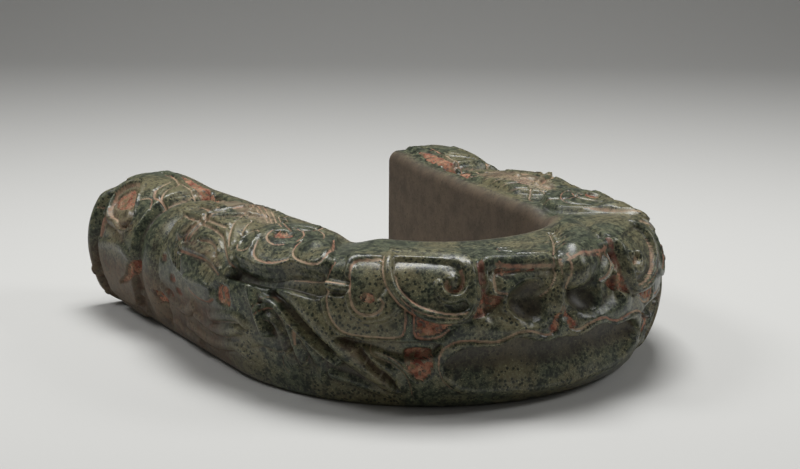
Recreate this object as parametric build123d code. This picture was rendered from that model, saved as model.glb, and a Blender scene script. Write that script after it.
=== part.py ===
from build123d import *
import math
import os

# A carved greenstone ballgame yoke. It lies on its flat underside with the toad's head towards -Y
# and its two arms towards +Y. Lengths are in millimetres. A place on the carved outside is given as
# the distance round the outer plan from the nose, and the distance up the face from the foot.

# Plan
half_width = 187.0
front_depth = 184.0
arm_length = 235.0
half_width_at_end = 190.0
waist_half_width = 86.0
waist_depth = 94.5
waist_half_width_at_end = 105.5
waist_squareness = 0.816

# Section
widest_height = 58.0
foot_inset = 27.5
foot_fullness = 0.45
waist_edge_round = 10.0
underside_trim = 3.0
stations_per_quarter = 9
stations_per_arm = 5

# Heights of the top, and where they change, measured back from the arm's end
head_top = 107.0
cheek_top = 108.0
dip_top = 101.0
haunch_top = 105.0
arm_top = 106.0
end_top = 110.0
haunch_end = 131.0
collar_start = 124.0
collar_end = 72.0
end_head_end = 16.0
head_corner = 26.0
arm_corner = 44.0
head_fullness = 0.62
arm_fullness = 0.56

# Ground, cut back under the shoulder and along the lower side of the arms
ground_depth = 9.5
arm_ground_depth = 3.0

# Mouth
mouth_half_length = 92.0
mouth_height = 33.5
mouth_half_height = 20.0
mouth_depth = 15.0
mouth_corner_half_height = 3.0
mouth_tool_proud = 6.0
upper_lip_half_width = 4.0
upper_lip_lift = 1.4
lower_lip_half_width = 6.0
lower_lip_lift = 2.0

# Eyes, brows and nose
eye_set_back = 5.0
eye_zone_half_length = 60.0
eye_from_nose = 24.0
eye_up = 96.0
eye_radius = 16.0
eye_depth = 6.5
brow_start = 4.0
brow_end = 56.0
brow_foot = 121.0
brow_width = 36.0
brow_lift = 4.5
nose_half_width = 19.0
nose_foot = 112.0
nose_crown = 168.0
nose_lift = 10.0

# Plates on the cheek
scroll_lift = 4.0
scroll_floor_depth = 4.6
step_plate_lift = 1.6
lower_plate_lift = -0.8
plate_below_top = 1.5

# Foreleg and hand, below the plain surface, with the depth at which they meet the ground
limb_lift = -3.0
limb_sink = 13.0
hand_lift = -6.0

# Spiral ornament on the shoulder
spiral_lift = 6.0
boss_from_nose = 209.0
boss_up = 134.0
boss_radius = 15.0
boss_rise = 3.5

# Haunch, end head and flange
haunch_lift = 6.0
end_head_lift = 6.0
flange_width = 10.0
flange_lift = 7.0

# Residual pigment
pigment_thickness = 0.9
pocket_depth = 2.6
pocket_clear = 14.0

# Outlines on the carved face
big_scroll = [
    (139, 150),
    (136, 120),
    (130.5, 103.5),
    (118, 90),
    (102, 80.6),
    (84, 78.6),
    (71.5, 85.5),
    (67, 103),
    (68, 122),
    (74, 150),
]
scroll_floor = [
    (128.6, 120),
    (126, 107),
    (114, 93.5),
    (95, 87.5),
    (76.5, 87.5),
    (77, 94),
    (89.5, 93),
    (97, 102),
    (93.6, 108.6),
    (86, 99),
    (76.6, 101),
    (75, 112),
    (84, 120),
    (105, 121),
]
step_plate = [(166, 140), (163.5, 108), (158.5, 88), (147, 77.5), (131, 80), (120, 95), (132, 140)]
lower_plate = [(182, 101), (180, 88), (169, 69.5), (160, 66), (100, 65), (80, 74), (90, 108), (165, 106)]
pigment_patches = {
    "fang_pigment": (0.0, [(0.9, 84), (7, 76.5), (11, 74), (13.5, 76.5), (15.5, 72), (6, 66.5), (2, 68), (0.9, 74)]),
    "eye_ground_pigment": (-3.0, [(49, 119.5), (16, 117.6), (15, 113.5), (34, 114.4), (47, 112), (50.5, 115)]),
    "cheek_pigment": (-1.0, [(58.5, 99), (63.5, 97), (71, 82.8), (60, 85), (51, 90), (48, 95), (56, 95.5)]),
    "scroll_hook_pigment": (0.0, [(75.6, 112), (78, 101.4), (88, 101), (90, 105), (82, 102.6), (78.4, 107)]),
    "step_plate_pigment": (1.6, [(151, 95), (148, 91.4), (142, 91), (138.6, 94), (141, 98), (147, 99)]),
    "lower_cheek_pigment": (-0.8, [(110, 83), (110, 69.5), (101, 69), (87, 76), (84, 79)]),
    "mouth_corner_pigment": (-3.5, [(118, 56), (101, 57), (97.6, 50), (98.4, 41), (104, 35), (110, 34), (118, 47)]),
    "spiral_hollow_pigment": (5.0, [(267.5, 137), (264, 132.5), (252, 132), (248.5, 136.5), (251, 141), (264.5, 141.5)]),
    "haunch_foot_pigment": (-2.0, [(283, 84), (283, 72), (268, 70), (269, 83)]),
    "collar_foot_pigment": (-2.5, [(405, 50), (388, 51), (384, 46), (388, 39), (398, 38), (404, 42)]),
    "arm_hollow_pigment": (4.0, [(503, 108), (489, 123), (479, 119), (470, 111), (471, 104), (496, 102)]),
    "arm_end_pigment": (-1.0, [(470, 43), (446, 50), (424, 66), (425, 70), (434, 70), (444, 64), (450, 55)]),
    "arm_top_pigment": (0.0, [(496, 168), (480, 171), (424, 171), (396, 164), (404, 159), (468, 158)]),
}

quarter_length = math.pi / 2 * (half_width + front_depth) / 2
arm_run = math.hypot(arm_length, half_width_at_end - half_width)
half_length = quarter_length + arm_run
bend = quarter_length


def along(marks, distance):
    """A value that eases from mark to mark along the yoke."""
    distance = abs(distance)
    if distance <= marks[0][0]:
        return marks[0][1]
    for (start, low), (end, high) in zip(marks, marks[1:]):
        if distance <= end:
            share = (distance - start) / (end - start)
            return low + (high - low) * share * share * (3 - 2 * share)
    return marks[-1][1]


def top_height(distance):
    marks = [
        (0, head_top),
        (0.45 * bend, cheek_top),
        (0.58 * bend, cheek_top),
        (0.8 * bend, dip_top),
        (0.95 * bend, haunch_top),
        (half_length - haunch_end, haunch_top),
        (half_length - collar_start, arm_top),
        (half_length - collar_end, arm_top),
        (half_length - end_head_end, end_top),
    ]
    return along(marks, distance)


def corner_inset(distance):
    return along([(0.5 * bend, head_corner), (bend, arm_corner)], distance)


def corner_fullness(distance):
    return along([(0.5 * bend, head_fullness), (bend, arm_fullness)], distance)


def station(distance):
    """The outer and inner plan points at a distance from the nose, minus on the left."""
    side = -1.0 if distance < 0 else 1.0
    reach = abs(distance)
    if reach <= quarter_length:
        angle = math.pi / 2 * reach / quarter_length
        sine = math.sin(angle)
        cosine = max(math.cos(angle), 0.0)
        outer = (half_width * sine, -front_depth * cosine)
        inner = (
            waist_half_width * sine**waist_squareness,
            -waist_depth * cosine**waist_squareness,
        )
    else:
        share = (reach - quarter_length) / arm_run
        outer = (half_width + (half_width_at_end - half_width) * share, arm_length * share)
        inner = (
            waist_half_width + (waist_half_width_at_end - waist_half_width) * share,
            arm_length * share,
        )
    return (side * outer[0], outer[1]), (side * inner[0], inner[1])


def in_space(distance, across, height):
    """A point of the upright section at this station: across from the inner wall, and height."""
    outer, inner = station(distance)
    thickness = math.dist(outer, inner)
    return Vector(
        inner[0] + (outer[0] - inner[0]) * across / thickness,
        inner[1] + (outer[1] - inner[1]) * across / thickness,
        height,
    )


def curve_point(ends, share):
    """A point of the cubic curve through four control points."""
    rest = 1 - share
    weights = (rest**3, 3 * rest**2 * share, 3 * rest * share**2, share**3)
    return tuple(sum(w * p[axis] for w, p in zip(weights, ends)) for axis in (0, 1))


def face_curves(distance):
    """Control points of the section's lower and upper outer curves, across and height."""
    outer, inner = station(distance)
    thickness = math.dist(outer, inner)
    top = top_height(distance)
    inset = corner_inset(distance)
    fullness = corner_fullness(distance)
    lower = (
        (thickness - foot_inset, 0.0),
        (thickness - foot_inset * (1 - foot_fullness), 0.0),
        (thickness, widest_height * (1 - foot_fullness)),
        (thickness, widest_height),
    )
    upper = (
        (thickness, widest_height),
        (thickness, widest_height + fullness * (top - widest_height)),
        (thickness - inset * (1 - fullness), top),
        (thickness - inset, top),
    )
    return lower, upper


def face_line(distance, steps=12):
    """Points of the section's outside from the foot, up the face and over to the inner edge."""
    lower, upper = face_curves(distance)
    line = [curve_point(lower, k / steps) for k in range(steps)]
    line += [curve_point(upper, k / steps) for k in range(steps)]
    across, top = upper[3]
    line += [(across + (waist_edge_round - across) * k / steps, top) for k in range(steps + 1)]
    return line


def face_site(distance, up, lift=0.0):
    """The point at a distance up the face, raised by lift, and the face's outward direction there."""
    line = face_line(distance)
    run = up
    for start, end in zip(line, line[1:]):
        length = math.dist(start, end)
        if run <= length or end == line[-1]:
            break
        run -= length
    slope = ((end[0] - start[0]) / length, (end[1] - start[1]) / length)
    out = (slope[1], -slope[0])
    across = start[0] + slope[0] * run + out[0] * lift
    height = start[1] + slope[1] * run + out[1] * lift
    return in_space(distance, across, height), out


def face_plane(distance, up):
    """A plane on the carved face: x runs round towards the arm's end, z points out."""
    here, out = face_site(distance, up)
    step = 1.0
    round_way = (face_site(distance + step, up)[0] - face_site(distance - step, up)[0]).normalized()
    up_way = (face_site(distance, up + step)[0] - face_site(distance, up - step)[0]).normalized()
    return Plane(origin=here, x_dir=round_way, z_dir=round_way.cross(up_way))


def body_wire(distance, lift):
    """One closed upright section of the plain yoke, its outer face raised by lift. A raised one
    stops a little below the top, so that a plate cut from it keeps under the top's edge."""
    settle = plate_below_top if lift else 0.0
    lower, upper = (
        [(across + lift, height - settle * height / top_height(distance)) for across, height in ends]
        for ends in face_curves(distance)
    )
    foot = [in_space(distance, across, height) for across, height in lower]
    face = [in_space(distance, across, height) for across, height in upper]
    top = upper[3][1]
    rounding = 0.55 * waist_edge_round
    keel_inner = in_space(distance, 0.0, -underside_trim)
    keel_outer = in_space(distance, lower[0][0], -underside_trim)
    edge_start = in_space(distance, waist_edge_round, top)
    edge_mid = in_space(distance, waist_edge_round - rounding, top)
    edge_low = in_space(distance, 0.0, top - waist_edge_round + rounding)
    edge_end = in_space(distance, 0.0, top - waist_edge_round)
    return Wire(
        [
            Edge.make_line(keel_inner, keel_outer),
            Edge.make_line(keel_outer, foot[0]),
            Edge.make_bezier(*foot),
            Edge.make_bezier(*face),
            Edge.make_line(face[3], edge_start),
            Edge.make_bezier(edge_start, edge_mid, edge_low, edge_end),
            Edge.make_line(edge_end, keel_inner),
        ]
    )


def under_block():
    """Everything below the flat that the yoke lies on."""
    span = 4 * (arm_length + front_depth)
    return Pos(0, 0, -span / 2) * Box(span, span, span)


def plain_yoke(lift=0.0):
    """The smooth U before it is carved, with a true flat underside, its outer face raised by lift."""
    reach = [quarter_length * k / stations_per_quarter for k in range(stations_per_quarter)]
    reach += [quarter_length + arm_run * k / stations_per_arm for k in range(stations_per_arm + 1)]
    distances = [-far for far in reversed(reach[1:])] + reach
    return Solid.make_loft([body_wire(distance, lift) for distance in distances]) - under_block()


def soft_form(rows, edge, far, points=7):
    """A soft form along the face. Each row is its distance, the foot and head of its run up the
    face, and its crest's level. Both edges of its run lie at one level, and its back at another."""
    wires = []
    for distance, foot, head, crest in rows:
        arch = []
        for k in range(points):
            share = k / (points - 1)
            level = edge + (crest - edge) * math.sin(math.pi * share) ** 0.6
            arch.append(face_site(distance, foot + (head - foot) * share, level)[0])
        back = [face_site(distance, foot + (head - foot) * share, far)[0] for share in (0.75, 0.25)]
        wires.append(
            Wire(
                [
                    Edge.make_spline(arch),
                    Edge.make_line(arch[-1], back[0]),
                    Edge.make_line(back[0], back[1]),
                    Edge.make_line(back[1], arch[0]),
                ]
            )
        )
    return Solid.make_loft(wires)


def swell(rows, sink=2.5, depth=16.0, points=7):
    """A soft raised form that dives under the face at both edges of its run."""
    return soft_form(rows, -sink, -depth, points)


def hollow(rows, over=3.0, height=16.0):
    """A soft form to cut away; each row's last number is its depth."""
    return soft_form([(distance, foot, head, -depth) for distance, foot, head, depth in rows], over, height)


def pad(plane, outline, low, high):
    """The outline, drawn on the plane, as a block from one height to another."""
    return extrude(plane.offset(low) * outline, amount=high - low)


def drawn(places):
    """An outline given by places on the face: the plane at its middle, and its shape on that plane."""
    middle = [sum(place[axis] for place in places) / len(places) for axis in (0, 1)]
    points = [(around - middle[0], up - middle[1]) for around, up in places]
    return face_plane(*middle), make_face(Polyline(*points, close=True))


def lower_ground():
    """The ground under the shoulder and along the lower side of the arm."""
    return hollow(
        [
            (112, 6, 50, 1.0),
            (128, 4, 62, 0.6 * ground_depth),
            (146, 3, 66, 0.95 * ground_depth),
            (168, 3, 96, ground_depth),
            (190, 3, 102, ground_depth),
            (220, 3, 103, ground_depth),
            (245, 3, 98, 0.85 * ground_depth),
            (264, 4, 86, 0.5 * ground_depth),
            (284, 6, 78, arm_ground_depth),
            (340, 6, 74, arm_ground_depth),
            (420, 6, 74, arm_ground_depth),
            (480, 6, 74, arm_ground_depth),
            (508, 8, 66, 1.0),
        ]
    )


def eye_zone():
    """The set-back band in which both eyes lie."""
    rows = []
    steps = 8
    for k in range(steps + 1):
        share = -1 + 2 * k / steps
        depth = eye_set_back * (1 - share**6)
        rows.append((eye_zone_half_length * share, 76, 123, depth))
    return hollow(rows, over=1.5)


def mouth_basin():
    """The hollow of the open mouth, a lens bent round the front."""
    wires = []
    steps = 12
    for k in range(steps + 1):
        share = -1 + 2 * k / steps
        distance = mouth_half_length * share
        swellness = math.sqrt(max(1 - share * share, 0.0))
        half_height = mouth_corner_half_height + (mouth_half_height - mouth_corner_half_height) * swellness
        reach = mouth_tool_proud + mouth_depth * swellness
        outer, inner = station(distance)
        thickness = math.dist(outer, inner)
        middle = in_space(distance, thickness + mouth_tool_proud - 2.0, mouth_height)
        out = Vector(outer[0] - inner[0], outer[1] - inner[1], 0).normalized()
        around = Vector(0, 0, 1).cross(out)
        section = Plane(origin=middle, x_dir=out, z_dir=around)
        wires.append((section * Ellipse(reach, half_height)).wire())
    return Solid.make_loft(wires)


def lips():
    """The wavy upper lip and the fuller lower lip, beads that meet at the mouth's corners."""
    upper_marks = [(0, 65), (16, 62.5), (30, 67), (46, 64), (56, 61.5), (70, 62.5), (82, 60), (mouth_half_length, 50)]
    lower_marks = [(0, 20), (30, 21), (60, 23.5), (78, 28), (mouth_half_length, 42)]
    beads = []
    for marks, half_width_of_lip, lift in (
        (upper_marks, upper_lip_half_width, upper_lip_lift),
        (lower_marks, lower_lip_half_width, lower_lip_lift),
    ):
        whole = [(-distance, up) for distance, up in reversed(marks[1:])] + marks
        rows = [(distance, up - half_width_of_lip, up + half_width_of_lip, lift) for distance, up in whole]
        beads.append(swell(rows, sink=1.0, depth=5.0, points=5))
    return beads


def nose():
    rows = []
    steps = 8
    for k in range(steps + 1):
        share = -1 + 2 * k / steps
        lift = nose_lift * (1 - share * share) - 1.0
        half_run = (nose_crown - nose_foot) / 2 * (0.55 + 0.45 * math.sqrt(1 - share * share))
        middle = (nose_crown + nose_foot) / 2
        rows.append((nose_half_width * share, middle - half_run, middle + half_run, lift))
    return swell(rows, sink=6.0)


def brow():
    rows = [
        (brow_start, brow_foot, brow_foot + brow_width, brow_lift),
        (brow_start + 20, brow_foot, brow_foot + brow_width, brow_lift + 1),
        (brow_end - 10, brow_foot, brow_foot + brow_width, brow_lift),
        (brow_end + 6, brow_foot + 4, brow_foot + brow_width - 6, -1.5),
    ]
    return swell(rows)


def eye_cup():
    """The round hollow of the eye, part of a sphere, in the floor of the eye zone."""
    plane = face_plane(eye_from_nose, eye_up)
    radius = (eye_radius**2 + eye_depth**2) / (2 * eye_depth)
    return Pos(plane.origin + plane.z_dir * (radius - eye_depth - eye_set_back)) * Sphere(radius)


def foreleg():
    """The bent foreleg, from the shoulder down and forward to the paw beside the mouth, with the
    sharp ridge along it and the folded elbow."""
    limb = [
        (226, 74, 104, limb_lift - 2),
        (206, 64, 103, limb_lift),
        (186, 52, 98, limb_lift),
        (168, 36, 80, limb_lift),
        (150, 20, 62, limb_lift),
        (132, 10, 46, limb_lift - 1),
        (117, 8, 34, limb_lift - 5),
    ]
    ridge = [
        (234, 79, 88, limb_lift - 3),
        (222, 77, 89, limb_lift + 1),
        (203, 64, 76, limb_lift + 2),
        (182, 47, 60, limb_lift + 2),
        (171, 39, 52, limb_lift - 2),
    ]
    elbow = [
        (229, 58, 72, limb_lift - 6),
        (238, 66, 84, limb_lift - 1),
        (247, 78, 96, limb_lift),
        (257, 88, 104, limb_lift - 3),
    ]
    return [swell(rows, sink=limb_sink) for rows in (limb, ridge, elbow)]


def hand():
    """The palm and claws curled up behind the leg."""
    rows = [
        (203, 28, 64, hand_lift - 3),
        (211, 32, 80, hand_lift),
        (224, 38, 86, hand_lift),
        (236, 54, 86, hand_lift - 1),
        (245, 62, 80, hand_lift - 3),
    ]
    return swell(rows, sink=limb_sink)


def spiral_plate():
    rows = [
        (180, 112, 126, 0.0),
        (192, 108, 144, spiral_lift - 2),
        (210, 106, 162, spiral_lift - 0.5),
        (236, 102, 176, spiral_lift),
        (262, 102, 182, spiral_lift),
        (284, 108, 180, spiral_lift - 1),
        (298, 130, 172, 0.0),
    ]
    return swell(rows, sink=4.0)


def spiral_boss():
    """The round eye of the spiral, a low dome."""
    plane = face_plane(boss_from_nose, boss_up)
    radius = (boss_radius**2 + boss_rise**2) / (2 * boss_rise)
    return Pos(plane.origin + plane.z_dir * (spiral_lift + boss_rise - radius)) * Sphere(radius)


def haunch():
    rows = [
        (275, 84, 106, -1.0),
        (290, 76, 150, haunch_lift - 3),
        (308, 70, 178, haunch_lift - 1),
        (345, 66, 184, haunch_lift),
        (374, 76, 182, haunch_lift - 0.5),
        (389, 92, 180, haunch_lift - 2),
        (399, 112, 176, 0.5),
    ]
    return swell(rows)


def end_head():
    rows = [
        (438, 58, 168, 0.5),
        (451, 30, 178, end_head_lift - 1.5),
        (472, 24, 181, end_head_lift),
        (500, 24, 180, end_head_lift),
        (514, 30, 176, 1.0),
    ]
    return swell(rows)


def flange():
    rows = [(half_length - flange_width * share, 6, 120, flange_lift) for share in (1.0, 0.5, 0.0)]
    return swell(rows)


def both_sides(shapes):
    return [*shapes, *(mirror(shape, about=Plane.YZ) for shape in shapes)]


def cheek_plates(stone):
    """The stepped plates of the cheek: a low plate, a step plate over it and the big scroll on top."""
    tall = pocket_clear + scroll_lift
    for places, lift in ((lower_plate, lower_plate_lift), (step_plate, step_plate_lift), (big_scroll, scroll_lift)):
        plane, outline = drawn(places)
        raised = pad(plane, outline, -tall, tall) & plain_yoke(lift)
        stone += both_sides([raised])
    plane, outline = drawn(scroll_floor)
    cut = pad(plane, outline, -tall, tall) - plain_yoke(scroll_lift - scroll_floor_depth)
    return stone - both_sides([cut])


def carve():
    """The whole stone and each deposit of pigment, all in one place."""
    stone = plain_yoke()
    for cuts in ([eye_zone()], both_sides([lower_ground()])):
        stone -= cuts
    forms = [[nose()], lips()]
    forms += [both_sides(shapes) for shapes in ([brow()], [spiral_plate()], [haunch()], [end_head()], [flange()])]
    forms += [both_sides(shapes) for shapes in (foreleg(), [hand()], [spiral_boss()])]
    for shapes in forms:
        stone += shapes
    stone = cheek_plates(stone)
    stone -= [mouth_basin(), *both_sides([eye_cup()])]
    deposits = {}
    for name, (level, places) in pigment_patches.items():
        plane, outline = drawn(places)
        plane = plane.offset(level)
        stone -= both_sides([pad(plane, outline, -pocket_depth, pocket_clear)])
        fill = pad(plane, outline, -pocket_depth, pigment_thickness - pocket_depth)
        deposits["left_" + name] = mirror(fill, about=Plane.YZ)
        deposits["right_" + name] = fill
    stone -= under_block()
    return {"carved_stone": stone, **deposits}


def main():
    os.makedirs("parts", exist_ok=True)
    pieces = carve()
    box = pieces["carved_stone"].bounding_box()
    to_origin = Pos(-box.center().X, -box.center().Y, -box.min.Z)
    for name, piece in pieces.items():
        export_step(to_origin * piece, f"parts/{name}.step")


main()
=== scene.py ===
import math

import bmesh
import bpy
import numpy as np
from bpy.props import FloatProperty, FloatVectorProperty, PointerProperty
from mathutils import Matrix, Vector, noise


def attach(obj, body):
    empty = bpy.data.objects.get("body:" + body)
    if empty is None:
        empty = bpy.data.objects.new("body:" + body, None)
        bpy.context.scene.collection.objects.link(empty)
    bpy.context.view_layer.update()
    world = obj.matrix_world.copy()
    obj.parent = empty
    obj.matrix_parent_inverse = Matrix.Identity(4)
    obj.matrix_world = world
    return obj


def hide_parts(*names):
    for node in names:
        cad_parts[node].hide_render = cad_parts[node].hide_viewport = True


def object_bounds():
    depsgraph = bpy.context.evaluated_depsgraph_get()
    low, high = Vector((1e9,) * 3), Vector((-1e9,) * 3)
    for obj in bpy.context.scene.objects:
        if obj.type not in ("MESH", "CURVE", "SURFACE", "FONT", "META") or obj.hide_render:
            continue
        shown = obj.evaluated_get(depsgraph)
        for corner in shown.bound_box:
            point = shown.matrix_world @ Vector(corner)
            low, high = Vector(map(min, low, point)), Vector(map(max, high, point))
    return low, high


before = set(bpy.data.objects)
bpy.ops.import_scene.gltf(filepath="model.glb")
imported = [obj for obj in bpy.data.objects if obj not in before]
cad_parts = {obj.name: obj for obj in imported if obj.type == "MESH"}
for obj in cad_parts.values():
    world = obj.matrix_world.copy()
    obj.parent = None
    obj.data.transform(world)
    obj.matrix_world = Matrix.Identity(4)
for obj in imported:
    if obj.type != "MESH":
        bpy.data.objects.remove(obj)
cad_low, cad_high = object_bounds()

bl_info = {
    "name": "Carved Stone Yoke",
    "version": (1, 0, 0),
    "blender": (4, 5, 0),
    "location": "3D View > Sidebar > Yoke",
    "description": "A carved greenstone ballgame yoke with red pigment in its carving",
    "category": "Add Mesh",
}

# Places on the carved outside are given in millimetres as (around, up): around is the distance
# round the outer plan from the middle of the head, and up is the distance up the face from the foot.

BODY = "root"
FACE_ROWS = 46
WALL_ROWS = 22
SAMPLES_PER_ROW = 2
COLUMN_STEP = 2.0
FAR_AWAY = 99.0
SIDES = (("left", 1.0), ("right", -1.0))


class YokeSizes(bpy.types.PropertyGroup):
    half_width: FloatProperty(
        name="Half width", description="Outer half width where the bend begins, in millimetres", default=187.0, unit="NONE"
    )
    front_depth: FloatProperty(
        name="Front depth", description="From the bend's centre to the head, in millimetres", default=184.0, unit="NONE"
    )
    arm_length: FloatProperty(
        name="Arm length", description="From the bend's centre to the arms' ends, in millimetres", default=235.0, unit="NONE"
    )
    cell: FloatProperty(
        name="Cell", description="Side of a mesh cell on the plain faces, in millimetres", default=4.2, min=2.0, unit="NONE"
    )
    groove_depth: FloatProperty(
        name="Groove depth", description="Scale of the incised lines' depth", default=1.0, min=0.0, subtype="FACTOR"
    )
    crust: FloatProperty(
        name="Pigment thickness", description="Thickness of the red residue, in millimetres", default=0.7, min=0.1, unit="NONE"
    )


def colour_property(name, description, default):
    return FloatVectorProperty(
        name=name, description=description, default=default, size=3, min=0.0, max=1.0, subtype="COLOR"
    )


class YokeColours(bpy.types.PropertyGroup):
    dark: colour_property("Dark stone", "Black-green ground of the stone", (0.013, 0.018, 0.011))
    green: colour_property("Green stone", "Grey-green body of the stone", (0.085, 0.1, 0.062))
    sage: colour_property("Sage speckle", "Pale flecks in the stone", (0.2, 0.2, 0.12))
    olive: colour_property("Olive cloud", "Warm clouds in the stone", (0.16, 0.135, 0.07))
    # Darkened, this brown is also the colour of the painted shade in the hollows.
    brown: colour_property("Inner brown", "Unpolished stone of the inner face", (0.115, 0.08, 0.052))
    fleck: colour_property("Yellow flecks", "Small pale-yellow grains in the stone", (0.42, 0.38, 0.2))
    pale: colour_property("Pale pigment", "Cream residue in the lines", (0.4, 0.29, 0.19))
    salmon: colour_property("Salmon pigment", "Salmon residue in the lines", (0.34, 0.16, 0.1))
    red: colour_property("Red pigment", "Deep red residue in the hollows", (0.16, 0.045, 0.03))
    floor: colour_property("Floor", "Plain floor", (0.56, 0.56, 0.545))


# The plain yoke


def ease(low, high, value):
    """A smooth step from 0 at low to 1 at high."""
    share = np.clip((value - low) / (high - low), 0.0, 1.0)
    return share * share * (3 - 2 * share)


def along(marks, distance):
    """Values that ease from mark to mark along the yoke."""
    result = np.full(np.shape(distance), float(marks[0][1]))
    for (start, low), (end, high) in zip(marks, marks[1:]):
        result = result + (high - low) * ease(start, end, distance)
    return result


def cubic(ends, steps):
    """Points of a cubic curve whose control points are given for every section at once."""
    share = np.linspace(0, 1, steps + 1)[None, :, None]
    first, second, third, fourth = (end[:, None, :] for end in ends)
    rest = 1 - share
    return rest**3 * first + 3 * rest**2 * share * second + 3 * rest * share**2 * third + share**3 * fourth


class Yoke:
    """The plain yoke's outside as a table of points and outward directions, in millimetres."""

    widest_height = 58.0
    foot_inset = 27.5
    foot_fullness = 0.45
    edge_round = 10.0
    low_edge_round = 3.0
    head_offset = 2.5
    head_offset_reach = 160.0

    def __init__(self, sizes):
        self.quarter = math.pi / 2 * (sizes.half_width + sizes.front_depth) / 2
        self.widening = 3.0
        self.length = self.quarter + math.hypot(sizes.arm_length, self.widening)
        self.sizes = sizes
        self.shift_back = cad_high.y * 1000 - sizes.arm_length
        reach = np.arange(0, self.length + COLUMN_STEP, COLUMN_STEP)
        self.last = len(reach) - 1
        outer, inner = self.plan(np.minimum(reach, self.length))
        across = outer - inner
        thickness = np.hypot(across[:, 0], across[:, 1])
        face, self.face_run = self.face(reach, thickness)
        section = np.concatenate((face, self.inner_loop(face, thickness)), axis=1)
        out = across / thickness[:, None]
        flat = inner[:, None, :] + out[:, None, :] * section[:, :, :1]
        self.points = np.dstack((-flat[:, :, 0], flat[:, :, 1] + self.shift_back, section[:, :, 1]))
        round_way = np.gradient(self.points, axis=0)
        up_way = np.gradient(self.points, axis=1)
        normals = np.cross(up_way, round_way)
        normals[0, :, 0] = 0
        lengths = np.linalg.norm(normals, axis=2, keepdims=True)
        self.normals = normals / np.maximum(lengths, 1e-9)

    def plan(self, reach):
        """The outer and inner plan points, as if on the right side."""
        sizes = self.sizes
        turn = np.minimum(reach / self.quarter, 1.0) * math.pi / 2
        share = np.clip((reach - self.quarter) / (self.length - self.quarter), 0, 1)
        sine = np.sin(turn)
        cosine = np.maximum(np.cos(turn), 0.0)
        back = sizes.arm_length * share
        outer = np.column_stack((sizes.half_width * sine + self.widening * share, back - sizes.front_depth * cosine))
        inner = np.column_stack((86.0 * sine**0.816 + 19.5 * share, back - 94.5 * cosine**0.816))
        return outer, inner

    def face(self, reach, thickness):
        """The section from the foot over to the inner edge, even steps, and how long it is."""
        bend = self.quarter
        end = self.length
        top = along(
            [
                (0, 107.0),
                (0.45 * bend, 108.0),
                (0.58 * bend, 108.0),
                (0.8 * bend, 101.0),
                (0.95 * bend, 105.0),
                (end - 131, 105.0),
                (end - 124, 106.0),
                (end - 72, 106.0),
                (end - 16, 110.0),
            ],
            reach,
        )
        inset = along([(0.5 * bend, 26.0), (bend, 44.0)], reach)
        fullness = along([(0.5 * bend, 0.62), (bend, 0.56)], reach)
        wide = self.widest_height
        foot = np.zeros_like(reach)

        def pairs(across, height):
            return np.column_stack((across, height + foot))

        lower = cubic(
            (
                pairs(thickness - self.foot_inset, foot),
                pairs(thickness - self.foot_inset * (1 - self.foot_fullness), foot),
                pairs(thickness, wide * (1 - self.foot_fullness)),
                pairs(thickness, wide),
            ),
            24,
        )
        upper = cubic(
            (
                pairs(thickness, wide),
                pairs(thickness, wide + fullness * (top - wide)),
                pairs(thickness - inset * (1 - fullness), top),
                pairs(thickness - inset, top),
            ),
            24,
        )
        over = cubic(
            tuple(pairs(self.edge_round + (thickness - inset - self.edge_round) * share, top) for share in (1, 2 / 3, 1 / 3, 0)),
            12,
        )
        line = np.concatenate((lower, upper[:, 1:], over[:, 1:]), axis=1)
        steps = np.hypot(*np.moveaxis(np.diff(line, axis=1), 2, 0))
        run = np.concatenate((np.zeros((len(reach), 1)), np.cumsum(steps, axis=1)), axis=1)
        count = FACE_ROWS * SAMPLES_PER_ROW
        even = np.empty((len(reach), count + 1, 2))
        for row, (lengths, points) in enumerate(zip(run, line)):
            at = np.linspace(0, lengths[-1], count + 1)
            even[row, :, 0] = np.interp(at, lengths, points[:, 0])
            even[row, :, 1] = np.interp(at, lengths, points[:, 1])
        return even, run[:, -1]

    def inner_loop(self, face, thickness):
        """The section from the inner edge down the waist wall and back under to the foot."""
        top = face[:, -1, 1]
        radius = self.edge_round
        low = self.low_edge_round
        rows = []
        for turn in np.linspace(0, math.pi / 2, 11)[1:]:
            rows.append((radius * (1 - math.sin(turn)) + 0 * top, top - radius * (1 - math.cos(turn))))
        for share in np.linspace(0, 1, 17)[1:]:
            rows.append((0 * top, top - radius + (low - top + radius) * share))
        for turn in np.linspace(0, math.pi / 2, 5)[1:]:
            rows.append((low * (1 - math.cos(turn)) + 0 * top, low * (1 - math.sin(turn)) + 0 * top))
        for share in np.linspace(0, 1, 15)[1:]:
            rows.append((low + (thickness - self.foot_inset - low) * share, 0 * top))
        return np.stack([np.column_stack(row) for row in rows], axis=1)

    def place(self, around, row, lift):
        """Points in metres for places given as distance round, row of the section and lift."""
        around = around + self.head_offset * np.maximum(1 - np.abs(around) / self.head_offset_reach, 0) ** 2
        side = np.where(around < 0, -1.0, 1.0)
        reach = np.clip(np.abs(around) / COLUMN_STEP, 0, self.last - 1e-6)
        level = np.clip(row * SAMPLES_PER_ROW, 0, self.points.shape[1] - 1 - 1e-6)
        column = reach.astype(int)
        sample = level.astype(int)
        right = (reach - column)[:, None]
        high = (level - sample)[:, None]

        def between(table):
            near = table[column, sample] * (1 - high) + table[column, sample + 1] * high
            far = table[column + 1, sample] * (1 - high) + table[column + 1, sample + 1] * high
            return near * (1 - right) + far * right

        out = between(self.normals)
        out = out / np.linalg.norm(out, axis=1, keepdims=True)
        spot = between(self.points) + out * lift[:, None]
        spot[:, 0] *= side
        return np.clip(spot / 1000, cad_low, [part - 0.0002 for part in cad_high])

    def up_from_row(self, around, row):
        """How far up the face a row of the section lies, in millimetres."""
        run = np.interp(np.abs(around), np.arange(self.last + 1) * COLUMN_STEP, self.face_run)
        return row / FACE_ROWS * run

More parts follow.
